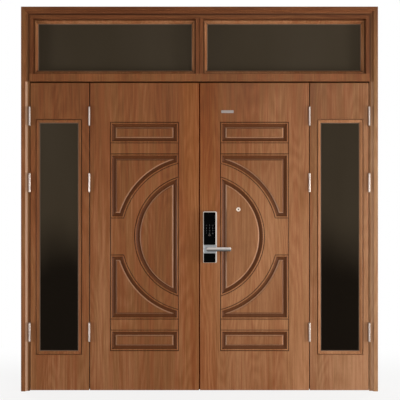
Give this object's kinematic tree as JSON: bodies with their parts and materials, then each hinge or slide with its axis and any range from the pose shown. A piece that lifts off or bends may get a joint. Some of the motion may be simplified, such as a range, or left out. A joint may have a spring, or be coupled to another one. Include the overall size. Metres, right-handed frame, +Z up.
{
  "type": "front door",
  "caption": "Wood-grain front door with moulded main leaves, narrow glazed side leaves, a glazed transom and a keypad lever lock; the leaves swing outward.",
  "frame": {"origin": "on the wall face of the left jamb (seen from outside), at floor level, halfway through the frame's depth", "axes": "+X across the door to the right seen from outside, +Y from outside to inside, +Z up"},
  "size_m": [2.5, 0.168, 2.695],
  "materials": {
    "wood": "satin walnut-brown grain",
    "dark_glass": "dark tinted, clear",
    "hinge_steel": "satin",
    "fitting_steel": "satin",
    "lock_metal": "satin",
    "lock_gloss": "gloss black",
    "seal_rubber": "matt black",
    "lens": "clear"
  },
  "bodies": {
    "frame": {"left_jamb": "wood", "right_jamb": "wood", "head": "wood", "left_stop": "wood", "right_stop": "wood", "top_stop": "wood", "weather_seal": "seal_rubber", "transom_bar": "wood", "transom_left_strip": "wood", "transom_right_strip": "wood", "transom_top_strip": "wood", "transom_mullion": "wood", "transom_left_glass": "dark_glass", "transom_right_glass": "dark_glass", "transom_outer_beads": "wood", "transom_inner_beads": "wood", "left_jamb_hinges": "hinge_steel", "right_jamb_hinges": "hinge_steel"},
    "left_side_leaf": {"left_side_slab": "wood", "left_side_glass": "dark_glass", "left_side_outer_beads": "wood", "left_side_inner_beads": "wood", "left_side_jamb_hinges": "hinge_steel", "left_side_leaf_hinges": "hinge_steel"},
    "right_side_leaf": {"right_side_slab": "wood", "right_side_glass": "dark_glass", "right_side_outer_beads": "wood", "right_side_inner_beads": "wood", "right_side_jamb_hinges": "hinge_steel", "right_side_leaf_hinges": "hinge_steel"},
    "left_main_leaf": {"left_main_slab": "wood", "left_main_hinges": "hinge_steel", "strike_plate": "fitting_steel", "bolt_plates": "fitting_steel"},
    "right_main_leaf": {"right_main_slab": "wood", "right_main_hinges": "hinge_steel", "lock_case": "lock_metal", "lock_face": "lock_gloss", "handle_base": "lock_metal", "lock_inner_case": "lock_metal", "lock_edge_plate": "fitting_steel", "viewer_outer": "fitting_steel", "viewer_inner": "fitting_steel", "viewer_lens": "lens", "name_plate": "fitting_steel"},
    "lever": {"outer_lever": "lock_metal", "spindle": "lock_metal", "inner_lever": "lock_metal"}
  },
  "joints": [
    {"name": "left_side_swing", "type": "hinge", "parent": "frame", "child": "left_side_leaf", "pos_m": [0.06, -0.058, 1], "axis": [0, 0, -1], "range_deg": [0, 165]},
    {"name": "left_main_swing", "type": "hinge", "parent": "left_side_leaf", "child": "left_main_leaf", "pos_m": [0.478, -0.058, 1], "axis": [0, 0, 1], "range_deg": [-165, 0]},
    {"name": "right_side_swing", "type": "hinge", "parent": "frame", "child": "right_side_leaf", "pos_m": [2.44, -0.058, 1], "axis": [0, 0, 1], "range_deg": [0, 165]},
    {"name": "right_main_swing", "type": "hinge", "parent": "right_side_leaf", "child": "right_main_leaf", "pos_m": [2.022, -0.058, 1], "axis": [0, 0, -1], "range_deg": [-165, 0]},
    {"name": "lever_turn", "type": "hinge", "parent": "right_main_leaf", "child": "lever", "pos_m": [1.3235, -0.085, 0.998], "axis": [0, 1, 0], "range_deg": [0, 45], "stiffness_Nm_per_rad": 1, "springref_deg": -34.38}
  ]
}
